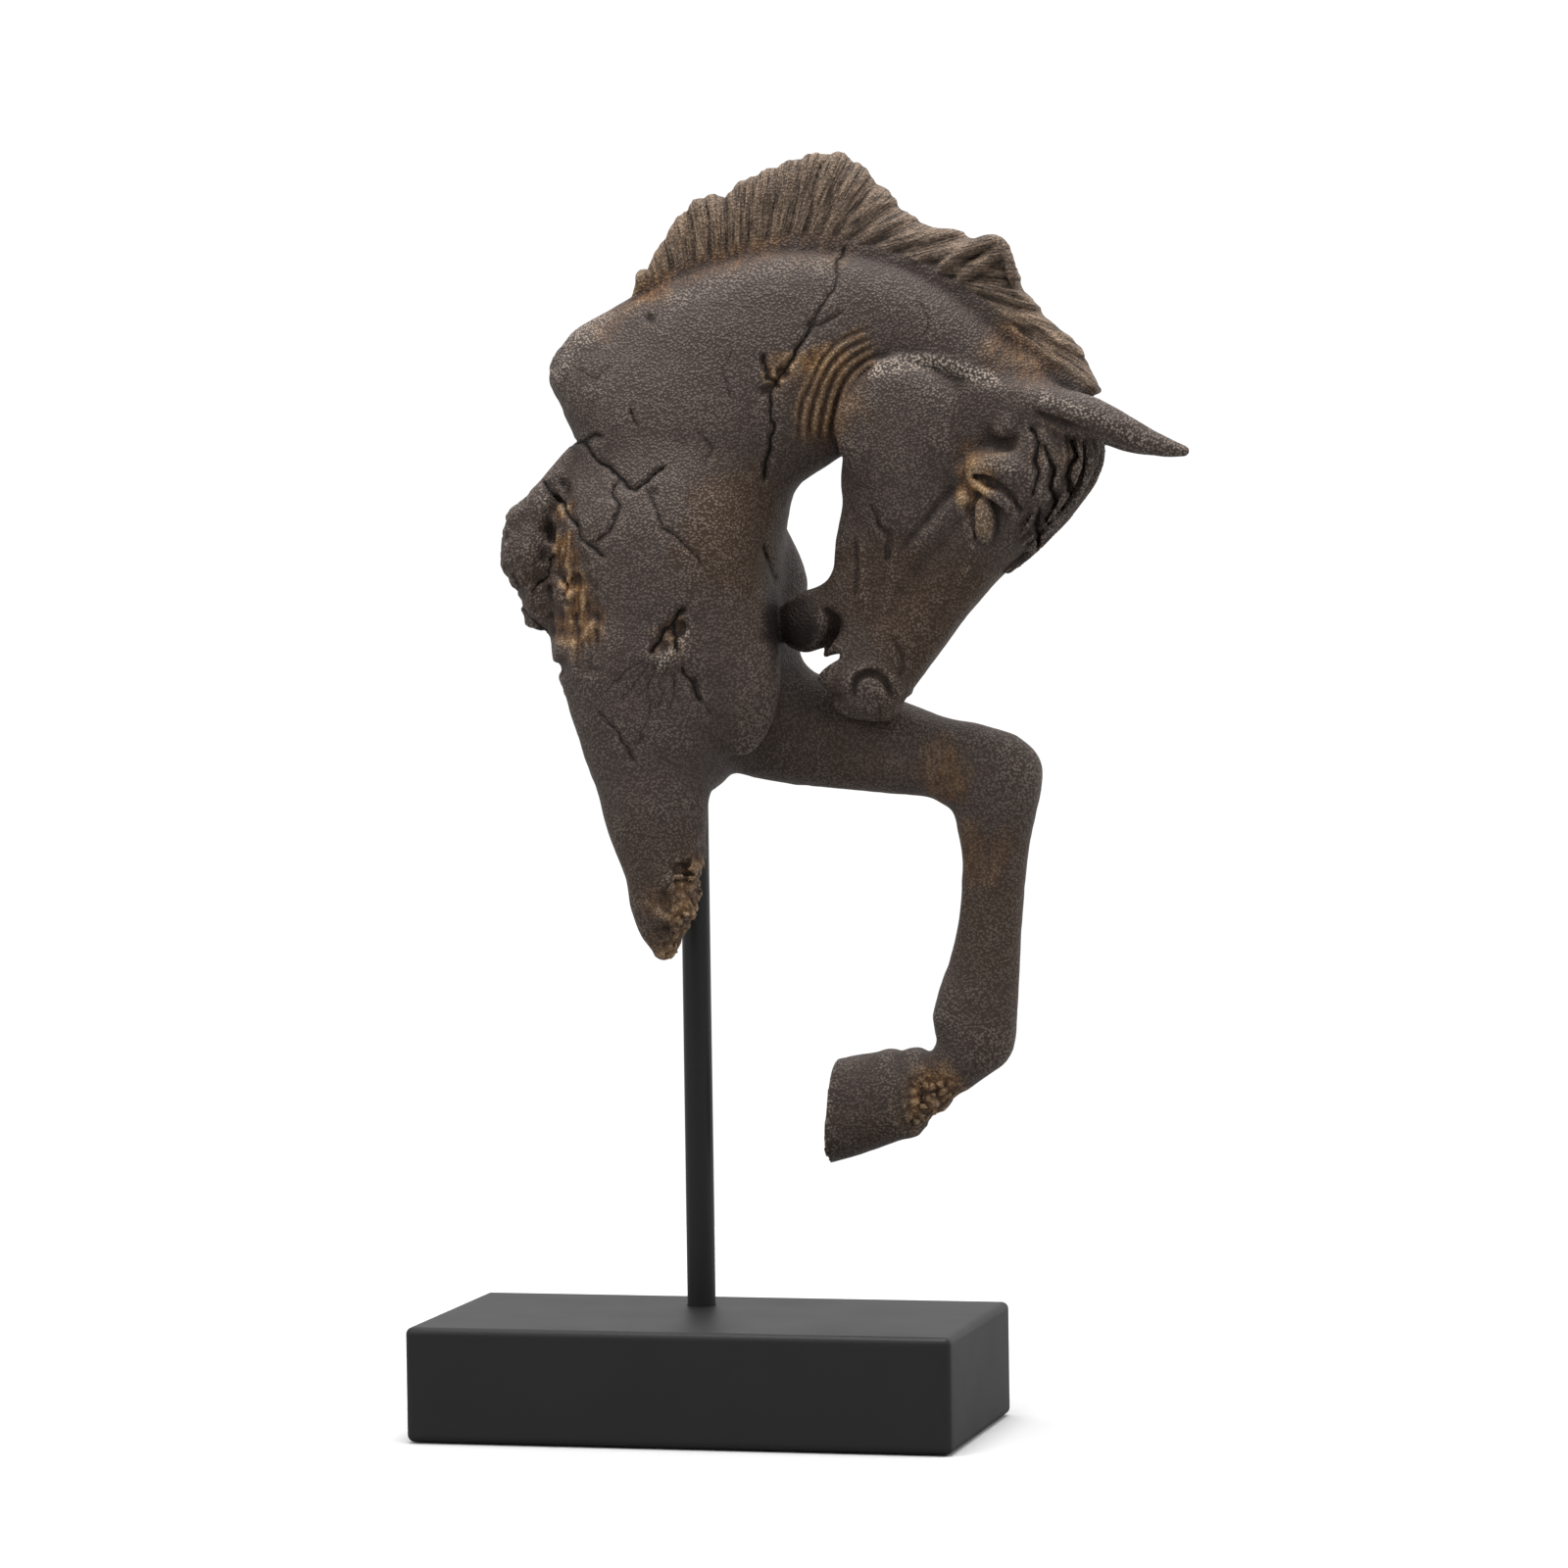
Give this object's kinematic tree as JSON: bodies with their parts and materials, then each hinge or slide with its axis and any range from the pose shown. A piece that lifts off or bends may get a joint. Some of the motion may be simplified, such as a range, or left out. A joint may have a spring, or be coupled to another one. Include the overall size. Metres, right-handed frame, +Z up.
{
  "type": "horse sculpture",
  "caption": "Weathered horse fragment with arched neck, tucked head and one raised foreleg, held by an upright rod on a rectangular block.",
  "frame": {"origin": "middle of the underside of the block", "axes": "+Z up, +X along the long side of the block in the direction the horse's ear points, -Y towards the viewer"},
  "size_m": [0.3228, 0.1276, 0.5347],
  "materials": {
    "horse_resin": "pebbled charcoal-brown resin with rust-gold rubbed into the hollows",
    "rod_steel": "satin black powder coat",
    "base_block": "satin black paint over fibreboard"
  },
  "bodies": {
    "root": {"horse": "horse_resin", "rod": "rod_steel", "base": "base_block"}
  },
  "joints": []
}
